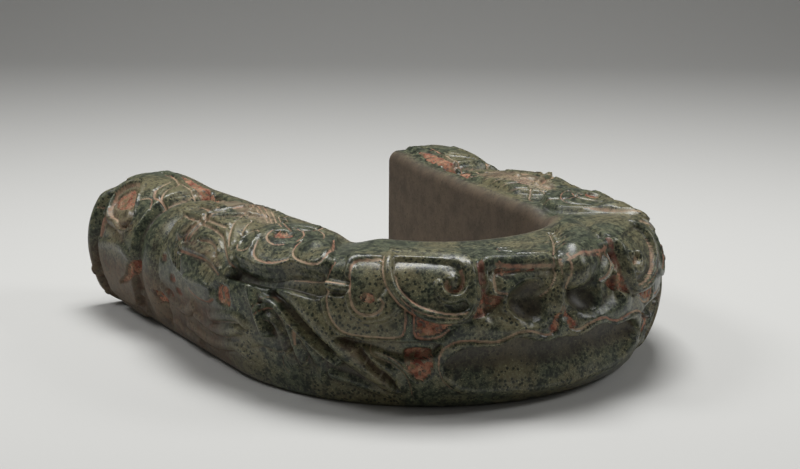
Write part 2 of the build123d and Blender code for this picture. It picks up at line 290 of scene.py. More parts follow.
    def row_from_up(self, around, up):
        run = np.interp(np.abs(around), np.arange(self.last + 1) * COLUMN_STEP, self.face_run)
        return up / run * FACE_ROWS


# Carving tools


def smooth_line(points, closed=False, steps=5):
    """A line that runs smoothly through its points."""
    points = [np.array(point, float) for point in points]
    count = len(points)
    spans = count if closed else count - 1
    line = []
    for k in range(spans):
        here = points[k]
        there = points[(k + 1) % count]
        before = points[k - 1] if closed or k > 0 else 2 * here - there
        after = points[(k + 2) % count] if closed or k + 2 < count else 2 * there - here
        for step in range(steps):
            t = step / steps
            line.append(
                0.5
                * (
                    2 * here
                    + (there - before) * t
                    + (2 * before - 5 * here + 4 * there - after) * t * t
                    + (3 * here - before - 3 * there + after) * t**3
                )
            )
    line.append(points[0] if closed else points[-1])
    return np.array(line)


def soft_highest(first, second, blend):
    """The higher of two heights, with a small fillet where they cross."""
    share = np.clip(0.5 + 0.5 * (first - second) / blend, 0, 1)
    return second * (1 - share) + first * share + blend * share * (1 - share)


class Carving:
    """The height of the carved face over the plain yoke at many places, and what lies on it."""

    def __init__(self, around, up, sizes):
        self.signed = around
        self.x = np.abs(around)
        self.y = up
        self.depth_scale = sizes.groove_depth
        self.lift = np.zeros(len(around))
        self.pale = np.zeros(len(around))
        self.red = np.zeros(len(around))
        self.nearest_edge = np.full(len(around), FAR_AWAY)

    def face_middle(self):
        """Where the face's own middle lies: the photo's face leans a little off the head's axis."""
        return np.interp(self.y, (72, 88, 97, 106, 114, 124), (-1.0, 3.5, 2.5, -2.0, -3.0, -4.5))

    def measure(self, line, margin):
        """Distance of every place to a line, and whether it lies inside the line's outline."""
        low = line.min(0) - margin
        high = line.max(0) + margin
        near = (self.x > low[0]) & (self.x < high[0]) & (self.y > low[1]) & (self.y < high[1])
        places = np.column_stack((self.x[near], self.y[near]))
        best = np.full(len(places), FAR_AWAY)
        within = np.zeros(len(places), bool)
        for start, end in zip(line, line[1:]):
            run = end - start
            offset = places - start
            share = np.clip(offset @ run / max(run @ run, 1e-9), 0, 1)
            gap = offset - share[:, None] * run
            best = np.minimum(best, np.hypot(gap[:, 0], gap[:, 1]))
            crosses = (start[1] > places[:, 1]) != (end[1] > places[:, 1])
            rise = end[1] - start[1]
            if abs(rise) > 1e-9:
                at = start[0] + (places[:, 1] - start[1]) * run[0] / rise
                within ^= crosses & (places[:, 0] < at)
        distance = np.full(len(self.x), FAR_AWAY)
        distance[near] = best
        inside = np.zeros(len(self.x), bool)
        inside[near] = within
        return distance, inside

    def groove(self, points, width=2.0, depth=1.2, pale=1.0, red=0.0):
        """An incised line, with pigment along its floor."""
        distance, _ = self.measure(smooth_line(points), 8.0)
        share = np.clip(1 - (distance / (width / 2 + 0.6)) ** 2, 0, 1)
        self.lift -= depth * self.depth_scale * share
        stain = 1 - ease(0.1 * width, 0.42 * width + 0.2, distance)
        self.pale = np.maximum(self.pale, pale * stain)
        self.red = np.maximum(self.red, red * stain)
        self.nearest_edge = np.minimum(self.nearest_edge, np.maximum(distance - width / 2, 0))

    def bead(self, points, width, height):
        """A rounded ridge along a line."""
        distance, _ = self.measure(smooth_line(points), width)
        share = np.clip(1 - (distance / (width / 2)) ** 2, 0, 1)
        self.lift += height * share**0.75
        self.nearest_edge = np.minimum(self.nearest_edge, np.abs(distance - width / 2) + 1.0)

    def share_inside(self, outline, edge, smooth):
        line = smooth_line(outline, closed=True) if smooth else np.array([*outline, outline[0]], float)
        distance, inside = self.measure(line, edge + 6.0)
        signed = np.where(inside, distance, -distance)
        self.nearest_edge = np.minimum(self.nearest_edge, np.maximum(distance - edge / 2, 0))
        return ease(-edge / 2, edge / 2, signed)

    def ridge(self, points, width, level, sink=13.0):
        """A rounded form along a line that comes up to a level, whatever lay there."""
        distance, _ = self.measure(smooth_line(points), width / 2)
        share = np.clip(distance / (width / 2), 0, 1)
        form = -sink + (level + sink) * np.cos(math.pi / 2 * share) ** 0.6
        form = np.where(distance < width / 2, form, -FAR_AWAY)
        self.lift = soft_highest(self.lift, form, 0.8)
        seam = np.abs(form - self.lift) + np.abs(distance - width / 2) * 0.3
        self.nearest_edge = np.minimum(self.nearest_edge, seam + 0.6)

    def raise_area(self, outline, height, edge=1.8, smooth=True, red=0.0, pale=0.0):
        share = self.share_inside(outline, edge, smooth)
        self.lift += height * share
        self.red = np.maximum(self.red, red * share)
        self.pale = np.maximum(self.pale, pale * share)

    def stain(self, outline, red=0.0, pale=0.0):
        """A soft patch of residue."""
        carved_edges = self.nearest_edge
        self.raise_area(outline, 0.0, edge=9.0, red=red, pale=pale)
        self.nearest_edge = carved_edges

    def level_area(self, outline, level, edge=1.8, smooth=True):
        """Brings an area to one level, whatever lay there."""
        share = self.share_inside(outline, edge, smooth)
        self.lift = self.lift * (1 - share) + level * share

    def mound(self, centre, radii, height, turn=0.0):
        """A soft dome, or a soft hollow when its height is negative."""
        cosine = math.cos(math.radians(turn))
        sine = math.sin(math.radians(turn))
        x = self.x - centre[0]
        y = self.y - centre[1]
        share = ((x * cosine + y * sine) / radii[0]) ** 2 + ((y * cosine - x * sine) / radii[1]) ** 2
        self.lift += height * np.clip(1 - share, 0, 1) ** 1.5

    def channel(self, points, width, level):
        """A rounded furrow along a line that goes down to a level, whatever lay there."""
        distance, _ = self.measure(smooth_line(points), width)
        share = np.clip(distance / (width / 2), 0, 1)
        form = level + (4.0 - level) * (1 - np.sqrt(1 - share**2 * 0.98))
        form = np.where(distance < width / 2, form, FAR_AWAY)
        self.lift = -soft_highest(-self.lift, -form, 0.8)
        self.nearest_edge = np.minimum(self.nearest_edge, np.abs(distance - width / 2) * 0.5 + 0.5)

    def cup(self, centre, radius, rim, depth):
        """A round hollow whose crisp rim lies at one level."""
        distance = np.hypot(self.x - centre[0], self.y - centre[1])
        ring = 1 - ease(0, 2.6, np.abs(distance - radius - 1.2))
        self.lift = self.lift * (1 - ring * 0.85) + rim * ring * 0.85
        form = rim - depth * np.clip(1 - (distance / radius) ** 2, 0, 1) ** 0.65
        self.lift = np.where(distance < radius, np.minimum(form, rim), self.lift)
        self.nearest_edge = np.minimum(self.nearest_edge, np.abs(distance - radius))


# The carving, part by part


GROUND = (
    (100, 7, 46, 0.0),
    (112, 6, 50, 1.0),
    (128, 4, 62, 5.7),
    (146, 3, 66, 9.0),
    (168, 3, 96, 9.5),
    (190, 3, 102, 9.5),
    (220, 3, 103, 9.5),
    (245, 3, 98, 8.1),
    (264, 4, 86, 4.8),
    (284, 6, 78, 3.0),
    (340, 6, 74, 3.0),
    (480, 6, 74, 3.0),
    (508, 8, 66, 1.0),
    (516, 8, 66, 0.0),
)


def carve_ground(c):
    """The ground is cut back under the shoulder and along the lower side of the arm. Each mark is a
    distance round, the foot and head of the cut there, and its depth."""
    around, foot, head, depth = (np.array(column, float) for column in zip(*GROUND))
    low = np.interp(c.x, around, foot)
    share = np.clip((c.y - low) / (np.interp(c.x, around, head) - low), 0, 1)
    over = 3.0
    cut = over - (np.interp(c.x, around, depth) + over) * np.sin(math.pi * share) ** 0.6
    c.lift += np.minimum(cut, 0) * ease(100, 112, c.x)
    shoulder = ease(150, 166, c.x) * (1 - ease(236, 256, c.x))
    c.lift -= 3.5 * shoulder * ease(84, 96, c.y) * (1 - ease(106, 122, c.y))


EYE_PLATE = [
    (1, 124),
    (1, 104),
    (2.5, 97.5),
    (7, 94.2),
    (14, 93.6),
    (36, 93.6),
    (46, 94),
    (53, 96.3),
    (57.4, 101),
    (58.8, 107.5),
    (57.4, 114),
    (54, 120),
    (50, 124),
]


def carve_eyes(c):
    """The sunken eyes with their plates and frame lines, and the raised band between them."""
    c.x = np.abs(c.signed - c.face_middle())
    back = ease(70, 82, c.y) * (1 - ease(120.5, 122, c.y)) * (1 - ease(57.5, 60, c.x))
    c.lift -= 4.8 * back
    c.raise_area(EYE_PLATE, 2.9, edge=1.6, smooth=False)
    c.mound((31, 72), (18, 7), 2.4)
    c.ridge([(0, 112), (0, 104), (0, 97), (0, 90), (0, 84)], 17.0, 1.2, sink=5.0)
    c.cup((24.6, 91.5), 16.4, -2.0, 12.0)
    c.groove([(41, 97.3), (48, 98.6), (52, 102), (54.6, 108), (53.3, 114), (50, 119)], 2.2, 1.3)
    c.groove([(5.5, 117), (4.6, 110), (5.4, 102), (8.6, 96), (11, 93)], 2.0, 1.1, pale=0.7)
    c.groove([(0.6, 116), (-0.4, 108), (-0.6, 100), (-0.6, 93)], 1.8, 1.0, pale=0.7)
    c.raise_area([(50, 117), (50, 112), (44, 107), (38, 112), (24, 114.5), (14, 114), (14, 117)], -0.4, edge=2.0, red=0.3)
    c.groove([(4, 113), (14, 114.5), (28, 115.6), (42, 117), (53, 118.6)], 2.4, 1.2, pale=0.7, red=0.4)
    c.x = np.abs(c.signed)


def carve_cheek_band(c):
    """The red band behind the eye, with the triangle on the cheek."""
    band = [(59, 98), (59, 121), (60.6, 123.6), (64, 123), (64.4, 110), (63.4, 97), (66, 90), (70, 81.5)]
    band += [(64, 82.5), (56, 85.5), (49, 90.5), (46, 95.5)]
    c.raise_area(band, -2.4, edge=2.2, smooth=False, red=1.0)


def carve_brow(c):
    """The roll over each eye, lower towards the nose, and the lines of the crown behind it."""
    outline = [(-14, 122), (30, 122), (52, 122.5), (60, 126), (62, 135), (57, 147), (44, 155), (22, 160), (-14, 160)]
    c.raise_area(outline, 1.0, edge=4.0)
    c.x = np.abs(c.signed - c.face_middle())
    c.ridge([(4, 118.5), (14, 120), (28, 121.4), (42, 122.6), (54, 123.4), (60, 122)], 14.5, 5.0, sink=4.0)
    c.groove([(2, 126), (12, 129), (24, 133), (38, 133.6), (52, 131)], 2.4, 1.6, pale=0.1)
    c.x = np.abs(c.signed)
    c.groove([(22, 140), (30, 146), (42, 143.5), (54, 138)], 1.8, 1.0, pale=0.2)
    c.groove([(20, 151), (28, 153), (31, 149.6), (29, 147.4)], 1.8, 1.0, pale=0.5)
    c.groove([(60, 128), (66, 136), (74, 146), (84, 153)], 2.2, 1.0, pale=0.2)


def carve_nose(c):
    """The bulb of the nose leans over the right eye, and its crest runs back over the crown."""
    c.x = c.signed
    crest = [(-18, 114), (-27, 120), (-43, 133), (-62, 148), (-83, 162), (-102, 173)]
    c.ridge(crest, 37.0, 7.4, sink=3.0)
    c.ridge([(-15, 110), (-17, 114), (-19, 118)], 32.0, 11.0, sink=6.0)
    flank = [(-1, 120), (-7, 127), (-20, 141), (-38, 157), (-58, 171)]
    c.groove(flank, 2.6, 2.2, pale=0.5)
    for k in range(9):
        around = -8.5 - 5.8 * k
        up = 127.0 + 5.2 * k
        c.groove([(around, up), (around - 10.0, up - 2.0)], 1.5, 0.9, pale=0.6)
    c.x = np.abs(c.signed)


FANG = [(0.4, 86), (2.4, 83), (5.6, 78), (9.4, 73.5), (13, 71), (12, 67.2), (8, 66), (4.6, 67.4), (2.6, 73), (0.6, 79)]


def carve_mouth(c):
    """The open mouth, deep under the upper lip and sloping out to the lower lip."""
    top_x = [0, 12, 24, 32, 37, 43, 52, 62, 70, 80, 86, 90, 92]
    top_y = [62, 60.5, 62, 65.5, 66, 64, 61, 61, 61.5, 58.5, 54, 49, 45]
    low_x = [0, 30, 50, 68, 78, 84, 88, 92]
    low_y = [22, 23.5, 25.5, 27, 30, 35.5, 40, 45]
    top = np.interp(c.x, top_x, top_y)
    low = np.interp(c.x, low_x, low_y)
    share = (c.y - low) / np.maximum(top - low, 0.5)
    deep = 15.0 * np.sqrt(np.clip(1 - (c.x / 92) ** 5, 0, 1))
    slope = np.sin(math.pi / 2 * np.clip(share / 0.72, 0, 1)) ** 1.3
    floor = slope * (1 - ease(0, 1.6, c.y - top + 1.2))
    inside = (c.x < 92) & (share > 0)
    c.lift -= np.where(inside, deep * floor, 0)
    gap = np.where(c.x < 93, np.minimum(np.abs(c.y - top), np.abs(c.y - low) + 0.8), FAR_AWAY)
    c.nearest_edge = np.minimum(c.nearest_edge, gap)
    upper_lip = [(7, 68), (11, 65.7), (16, 65.7), (23, 68.6), (30, 70.6), (38, 70), (45, 66.6), (54, 64.2), (63, 65)]
    upper_lip += [(72, 66), (80, 65.6), (86, 63.6), (90.5, 60), (93.5, 54), (94, 47)]
    c.bead([(x, y - 2.6) for x, y in upper_lip[1:12]], 6.0, 1.2)
    c.groove(upper_lip, 2.0, 1.3, pale=0.9)
    c.groove([(94, 47), (92.5, 40), (89, 33), (84, 28), (78, 24)], 1.6, 1.0, pale=0.45)
    c.bead([(-10, 20), (30, 21), (60, 23.5), (78, 28), (88, 38)], 8.0, 2.2)
    c.mound((56, 76), (18, 10), 3.2)


def carve_lower_plate(c):
    outline = [(182, 101), (180, 88), (176, 77), (169, 69.5), (160, 66), (140, 65), (100, 65), (90, 67.5), (80, 78)]
    outline += [(70, 80), (72, 104), (130, 112), (165, 106)]
    c.level_area(outline, -0.8)
    c.level_area([(167, 64.4), (150, 63.8), (97, 63.8), (95, 57), (108, 51), (126, 52), (142, 57), (160, 60)], -8.0, edge=3.0)
    line = [(176.5, 99), (175.5, 91), (173.5, 83), (170, 76.5), (165, 71.5), (159, 68.8), (148, 67.6), (135, 67.5)]
    line += [(124, 68), (119.5, 70), (118, 75), (117.3, 81), (118, 88)]
    c.groove(line, 1.9, 1.1, pale=0.9)
    c.groove([(112.5, 88), (111.5, 80), (111.5, 73), (109, 68.2), (100, 67.6), (93, 69.5), (87, 74)], 1.9, 1.1, pale=0.9)
    c.bead([(114.8, 87), (114.3, 78), (114.6, 70)], 4.0, 0.8)


CHEEK_TRIANGLE = [(110, 83), (110, 69.5), (101, 69), (94, 71), (87, 76), (84, 79), (95, 79.5), (104, 81.5)]


def carve_step_plate(c):
    outline = [(167.5, 129), (165.5, 118), (163.5, 108), (161.5, 98), (158.5, 88), (154, 81), (147, 77.5), (138, 78)]
    outline += [(131, 80), (125, 85), (120, 95), (128, 110), (134, 129)]
    c.level_area(outline, 2.4, edge=1.8)
    c.bead([(135, 126), (150, 126.5), (162.5, 124), (163, 112), (160.4, 101), (156, 88)], 5.0, 0.8)
    c.bead([(156, 88), (151, 81.8), (144, 80.4), (136, 81.6), (130, 85)], 5.0, 0.8)
    floor = [(158.5, 121), (157.5, 113), (155.5, 103), (153, 93), (150, 87), (146, 85.3), (140, 85.8), (137, 89)]
    floor += [(137, 94), (132, 100), (133, 108), (137, 121)]
    c.raise_area(floor, -1.8)
    line = [(138, 123.5), (150, 122.5), (158.5, 121), (160.5, 115), (158.8, 104), (156.5, 94), (153.5, 87.5), (149, 84)]
    line += [(143, 83.4), (137.5, 85), (134, 88), (133, 92), (135.5, 95)]
    c.groove(line, 2.1, 1.2)


def carve_big_scroll(c):
    outline = [(140, 150), (138.5, 140), (137, 130), (135.8, 120), (133.8, 111), (130.3, 103.5), (125, 97), (118, 90)]
    outline += [(110, 84.6), (102, 80.6), (93, 78.6), (84, 78.6), (76, 80.5), (71.5, 85.5), (68, 93), (67, 103)]
    outline += [(67, 115), (69, 128), (74, 137), (82, 144), (92, 149), (106, 151.5), (124, 152)]
    c.level_area(outline, 3.4, edge=2.0)
    rim = [(134.5, 142), (110, 140), (90, 137.5), (77, 130), (71, 118), (70, 105), (71.5, 93), (78, 84)]
    c.bead(rim[:5], 20.0, 1.8)
    c.bead([*rim[4:], (90, 81.5), (104, 84), (116, 92), (127, 103), (132.5, 116), (134, 128)], 7.0, 1.3)
    floor = [(129, 123.5), (128.3, 114), (126, 107), (121, 99.5), (114, 93.5), (105, 89.8), (95, 87.5), (84, 86.5)]
    floor += [(76.5, 87.5), (73.5, 90.5), (77, 94.3), (83, 92.6), (89.5, 93), (94.5, 96.5), (97.3, 102), (96.5, 107)]
    floor += [(93.6, 108.6), (91.5, 106.5), (90.3, 102), (86, 99), (81, 98.6), (76.6, 101), (74.6, 106), (75, 112)]
    floor += [(78, 117.6), (84, 121.2), (92, 123), (105, 124.2), (118, 124.8)]
    c.raise_area(floor, -3.6, edge=2.2)
    c.mound((110, 106), (18, 14), -1.0)
    c.mound((83.5, 109), (6, 5.5), 3.4)
    c.groove([(77.6, 115), (76.3, 109.5), (77.5, 104), (81, 101), (86, 101), (89, 104), (88.3, 107.6)], 3.4, 1.4)
    low = [(126, 111), (123.5, 104), (118, 97.7), (110, 91.8), (101, 88.4), (92, 86.3), (83, 85.2), (75, 86.3)]
    c.groove(low, 1.6, 0.9, pale=0.8)
    c.groove([(121, 95.6), (112, 88.8), (102, 85.2), (92, 83.4), (81, 83)], 1.5, 0.8, pale=0.55)
    edge = [(141, 149), (139.6, 139), (138.3, 128), (136.9, 118), (134.9, 110.4), (131.4, 102.8), (126, 96), (119, 89.3)]
    c.groove([*edge, (111, 83.8)], 2.0, 1.2, pale=0.9)


def carve_strap(c):
    c.level_area([(213, 107), (213, 96), (185, 95.4), (163, 95.4), (163, 108)], -4.0, edge=3.0)
    c.ridge([(216, 101.4), (200, 102), (180, 101.8), (161, 101)], 8.6, 1.2, sink=5.0)
    c.groove([(213, 103.6), (200, 104.2), (180, 104), (163, 103.2)], 1.7, 0.8, pale=0.9)
    c.groove([(181, 105), (179, 112), (176.5, 120)], 1.8, 0.9, pale=0.7)


def carve_foreleg(c):
    limb = [(214, 95), (203, 91), (192, 83), (180, 72), (166, 59), (152, 47), (138, 35), (125, 26)]
    c.ridge(limb, 26.0, 1.0)
    c.ridge([(240, 72), (233, 79), (225, 81), (216, 75), (208, 65), (204, 52), (200, 36)], 11.0, -3.4)
    c.ridge([(228, 70), (221, 66), (216, 57), (214, 44), (210, 32)], 10.0, -4.0)
    c.ridge([(204, 68), (195, 56), (188, 44), (185, 32), (188, 20)], 11.0, -4.4)
    c.channel([(228, 90), (215, 84.4), (204, 77), (193, 68.5), (183, 60.5), (172, 52)], 8.0, -10.5)
    c.ridge([(234, 84), (223, 82.5), (213, 76), (203, 69), (192, 61), (182, 53), (169, 43.5)], 8.0, 0.6)
    c.ridge([(258, 101), (250, 92), (243, 82), (235, 70), (229, 58)], 12.0, 1.6)
    c.ridge([(149, 62), (139, 49), (128, 40), (119, 29), (116, 15)], 9.0, -0.6)
    c.channel([(150, 56), (142, 44), (131, 35), (124, 24)], 5.0, -8.5)
    c.ridge([(176, 30), (160, 26), (142, 18), (126, 11)], 12.0, -3.0)
    c.stain([(168, 60), (150, 44), (132, 28), (126, 36), (140, 50), (158, 66)], red=0.3, pale=0.2)
    c.stain([(226, 76), (214, 66), (204, 50), (196, 36), (214, 36), (228, 60)], red=0.3)
    lines = (
        ([(240, 71), (237, 79), (232, 84), (226, 86.5), (219, 84)], 1.7, 0.6),
        ([(236, 71), (232, 76), (226, 77), (219, 74.6), (213, 69.5), (210.4, 62), (209.5, 54), (207, 49)], 1.7, 0.8),
        ([(230, 68), (226, 65), (224.4, 60), (225, 52)], 1.5, 0.4),
        ([(203.6, 69), (203.6, 60), (203, 53)], 2.6, 1.0),
        ([(200, 60), (196, 54.5), (194, 48), (196, 40), (200, 34)], 1.4, 0.5),
        ([(192, 57), (185, 51.5), (178, 46)], 1.8, 0.8),
        ([(183, 43), (185, 36), (188, 27)], 1.4, 0.4),
        ([(144, 62), (142.5, 56), (138, 51), (130, 46.6), (122, 42), (117, 35), (114.5, 27), (113, 17)], 1.6, 0.6),
        ([(139, 54), (131, 52), (124, 48.6), (118.5, 43), (113, 37.5)], 1.8, 0.7),
        ([(252, 38), (240, 40.5), (226, 39), (214, 44), (208, 46)], 1.6, 0.5),
        ([(222, 36), (223, 28), (220, 22)], 1.6, 0.5),
    )
    for points, width, pale in lines:
        c.groove(points, width, 1.0, pale=pale * 0.7, red=pale * 0.4)


def carve_spiral(c):
    outline = [(292, 132), (284, 110), (272, 105), (262, 104.5), (250, 103.5), (236, 104.5), (224, 107.5), (214, 111)]
    outline += [(204, 110.8), (190, 110.2), (183, 112.5), (180.5, 119), (184, 127), (190, 135), (198, 144), (207, 153)]
    outline += [(217, 162), (230, 170), (244, 176), (258, 179), (275, 177), (290, 169), (298, 157), (296, 144)]
    c.level_area([(x, y - 4) for x, y in outline[:11]] + [(180, 92), (215, 94), (250, 92), (280, 94)], -7.5, edge=3.0)
    c.level_area(outline, 5.6, edge=5.0)
    c.mound((250, 148), (62, 38), 3.0)
    c.mound((209, 133), (17, 16), 5.0, turn=25)
    boss_line = [(236, 137), (228, 127), (220, 119.5), (211, 115.4), (200, 113.4), (190, 112.8), (185, 115), (183.6, 121)]
    boss_line += [(187, 130), (194, 139), (203, 148), (214, 156)]
    c.groove(boss_line, 2.0, 1.4, pale=0.8)
    c.groove([(266, 122), (259, 113.4), (252, 109.4), (244, 108), (234, 108.4), (226, 110.5), (218, 113.6)], 1.9, 1.1)
    c.groove([(273, 138), (268, 131), (262, 126.6), (255, 124.2), (248, 123.6), (241, 126)], 1.9, 1.1, pale=0.9)
    c.groove([(270, 152), (260, 153), (250, 149), (243, 142), (238, 134)], 1.9, 1.1, pale=0.7)
    c.groove([(282, 146), (276, 158), (262, 166), (246, 164), (232, 156), (222, 148)], 1.9, 1.1, pale=0.6)
    c.raise_area([(288, 124), (285, 130), (279, 128), (274, 121), (270, 115), (276, 112.5), (283, 116)], -1.8, edge=2.0)
    c.groove([(290, 124), (286.6, 131.4), (279, 130), (272.6, 122), (268, 114), (275.6, 110.8), (284.4, 115)], 1.7, 1.0, pale=0.7)
    c.bead([(274, 128), (270, 122), (264, 115)], 4.0, 1.6)


SPIRAL_HOLLOW = [(267.5, 137), (264, 132.5), (258, 130.5), (252, 132), (248.5, 136.5), (251, 141), (258, 143), (264.5, 141.5)]


def carve_haunch(c):
    outline = [(399, 170), (396, 150), (391, 133), (388, 118), (382, 100), (370, 88), (350, 80), (325, 76), (302, 77)]
    outline += [(287, 82), (276, 91), (273, 101), (281, 109), (288, 119), (292, 132), (296, 147), (303, 162), (320, 176)]
    outline += [(350, 181), (380, 180)]
    c.level_area(outline, 3.6, edge=3.0)
    c.mound((345, 128), (56, 58), 4.6)
    c.mound((342, 160), (52, 26), 2.6)
    c.stain([(300, 150), (330, 168), (396, 168), (392, 146), (350, 140), (320, 138)], pale=0.3)
    c.stain([(372, 112), (350, 98), (330, 92), (300, 90), (282, 96), (300, 104), (330, 108), (352, 120)], red=0.36)
    c.stain([(392, 128), (372, 122), (352, 124), (340, 132), (352, 138), (380, 136)], red=0.3)
    pairs_of_lines = (
        [(389, 116), (380, 114.6), (372, 108), (362.5, 100.5), (355, 103), (350.4, 110), (349, 117)],
        [(389, 117.5), (370, 117.6), (350, 117.6)],
        [(348, 150), (348.6, 134), (348.2, 117), (349, 100)],
        [(344, 134), (344.6, 117), (345, 102)],
        [(345, 117), (325, 117), (308, 115), (294, 108), (281, 102), (274, 100)],
        [(352, 93.5), (330, 94.6), (312, 95.4), (297, 93.4), (284, 90)],
        [(394, 152), (389, 144), (383, 139.6), (371, 139), (360, 135.4), (352, 128), (347, 121), (330, 121), (316, 122)],
        [(392, 132), (380, 131.6), (368, 131), (356, 128)],
        [(338, 152), (326, 140), (316, 128), (303, 118), (292, 111)],
        [(345, 121), (336, 129), (326, 140), (318, 151)],
        [(330, 106), (318, 108), (306, 106), (300, 101)],
        [(312, 140), (304, 131), (296, 124)],
    )
    for points in pairs_of_lines:
        c.groove(points, 2.6, 2.0, pale=0.7, red=0.3)
        c.bead([(x + 1.5, y + 3.6) for x, y in points], 6.6, 1.5)
    for k in range(6):
        start = 392 - 15 * k
        c.groove([(start, 172 - 1.5 * k), (start - 28, 161 - 1.2 * k), (start - 56, 153 - 1.5 * k)], 2.0, 1.1, pale=0.6)
    for k in range(4):
        c.groove([(362 - 4.4 * k, 97.5), (357.4 - 4 * k, 89), (353 - 3.6 * k, 81.5)], 1.6, 1.1, pale=0.5)
    c.raise_area([(336, 76), (328, 81), (312, 83), (296, 81), (289, 75), (295, 68), (312, 65), (328, 68)], 2.6, edge=4.0)
    c.groove([(334, 73), (324, 68.6), (311, 66.6), (298, 67), (290, 71)], 2.6, 1.2, pale=0.5, red=0.6)


RED_BARS = [(283, 84), (283, 72), (268, 70), (269, 83)]


def carve_lower_side(c):
    """The rough lower side of the arm, with long slanting ridges and a few red patches."""
    ridges = (
        [(300, 55), (282, 60), (262, 63), (254, 58)],
        [(330, 48), (308, 44), (285, 46), (262, 52)],
        [(352, 32), (325, 28), (300, 30), (274, 36), (258, 30)],
        [(420, 34), (396, 30), (368, 22), (342, 20)],
        [(396, 62), (372, 50), (350, 46), (330, 56)],
        [(480, 64), (462, 50), (440, 40), (418, 38)],
        [(520, 44), (496, 34), (470, 26), (444, 20)],
        [(516, 22), (488, 14), (462, 10)],
    )
    for points in ridges:
        c.bead(points, 9.0, 2.6)
        c.groove([(x, y - 5.5) for x, y in points], 2.0, 1.0, pale=0.25, red=0.35)
    for centre in ((382, 83), (372, 56), (362, 71), (353, 62)):
        x, y = centre
        c.raise_area([(x - 5, y - 2), (x + 3, y - 3), (x + 5, y + 2), (x - 2, y + 3)], -1.2, edge=2.0, red=0.8)


COLLAR_FOOT = [(405, 50), (396, 49), (388, 51), (384, 46), (388, 39), (398, 38), (404, 42)]


def carve_collar(c):
    back = ease(390 + 0.09 * (c.y - 90), 394 + 0.09 * (c.y - 90), c.x)
    front = 1 - ease(434 + 0.1 * (c.y - 100), 438 + 0.1 * (c.y - 100), c.x)
    share = back * front * ease(14, 24, c.y)
    crown = 2.6 * np.clip(1 - ((c.x - 415) / 21) ** 2, 0, 1) - 1.4
    inner_end = ease(150, 172, c.y)
    c.lift = c.lift * (1 - share) + share * (-2.4 + 2.2 * crown - 2.0 * inner_end)
    gap = np.minimum(np.abs(c.x - 392), np.abs(c.x - 436))
    c.stain([(404, 120), (398, 96), (396, 60), (410, 60), (412, 96), (414, 120)], red=0.26)
    c.nearest_edge = np.minimum(c.nearest_edge, np.maximum(gap - 3, 0))
    c.groove([(401, 172), (397.5, 152), (394, 135), (391.6, 118), (388, 104)], 1.8, 0.9, pale=0.7)
    c.groove([(444, 158), (440, 142), (438, 128), (435, 112), (431, 98)], 1.8, 0.9, pale=0.5)


ARM_HOLLOW = [(503, 108), (497, 119), (489, 123), (479, 119), (470, 111), (471, 104), (484, 102), (496, 102)]


def carve_end_head(c):
    outline = [(514, 176), (516, 140), (516, 80), (512, 40), (500, 24), (470, 22), (448, 28), (438, 50), (436, 90)]
    outline += [(440, 120), (446, 150), (452, 176)]
    c.level_area(outline, 4.0, edge=3.0)
    c.mound((480, 132), (38, 54), 2.8)
    c.stain([(506, 84), (480, 78), (450, 78), (444, 100), (470, 96), (500, 100)], red=0.34)
    c.stain([(500, 170), (470, 160), (446, 150), (446, 170)], pale=0.26)
    pocket = [(505, 112), (500, 123), (490, 127.5), (480, 123), (470, 115.6), (461, 108), (453, 100), (452, 94)]
    pocket += [(458, 90.5), (468, 90), (480, 93.6), (492, 94), (500, 100)]
    c.raise_area(pocket, -4.0, edge=2.8, pale=0.25)
    c.groove([*pocket, pocket[0]], 1.8, 0.8, pale=0.75)
    c.bead([(x * 1.03 - 14.2, y * 1.2 - 21) for x, y in pocket], 4.0, 1.6)
    c.raise_area([(476, 97), (472, 103.6), (464, 104), (459, 97.6), (463, 91.6), (472, 91.6)], 4.0, edge=2.0)
    c.mound((467, 97.6), (5, 4), -2.0)
    c.groove([(512, 158), (495, 157.6), (480, 155), (466, 149.6), (459, 140), (452, 131), (444, 125), (438, 123)], 2.8, 2.2, pale=0.9)
    c.groove([(462, 128), (452, 122.6), (441, 123)], 3.2, 1.2, pale=0.8)
    c.groove([(473, 146), (466, 136), (459, 126.5), (450, 121.6)], 1.8, 1.0, pale=0.6)
    c.groove([(463, 115), (455, 119.4), (448, 118.4), (440, 112.4)], 1.8, 1.0, pale=0.7)
    c.groove([(508, 92), (494, 88), (478, 87), (462, 86), (446, 92)], 2.0, 1.2, pale=0.3)
    c.raise_area([(508, 92), (498, 92), (496, 82), (501, 74), (509, 78)], -2.0, edge=2.4, red=0.55, pale=0.3)
    c.bead([(500, 70), (480, 74), (460, 76), (442, 72)], 8.0, 2.0)
    c.groove([(517, 128), (511, 122), (508, 112), (511, 102), (519, 96)], 1.8, 1.0, pale=0.6)


RED_RECESS = [(470, 43), (458, 46), (446, 50), (436, 57), (426, 64), (424, 70), (434, 70), (444, 64), (450, 55), (462, 48)]


def carve_flange(c):
    c.channel([(512.5, 122), (512.5, 100), (512, 66), (510, 34), (508, 16)], 10.0, -2.6)
    rise = ease(516.5, 519.5, c.x) * ease(2, 30, c.y) * (1 - ease(104, 122, c.y))
    c.lift += 6.5 * rise
    c.nearest_edge = np.minimum(c.nearest_edge, np.maximum(np.abs(c.x - 518) - 2, 0))


ARM_TOP = [(496, 168), (480, 171), (452, 171.5), (424, 171), (404, 169), (396, 164), (404, 159), (430, 158), (468, 158)]


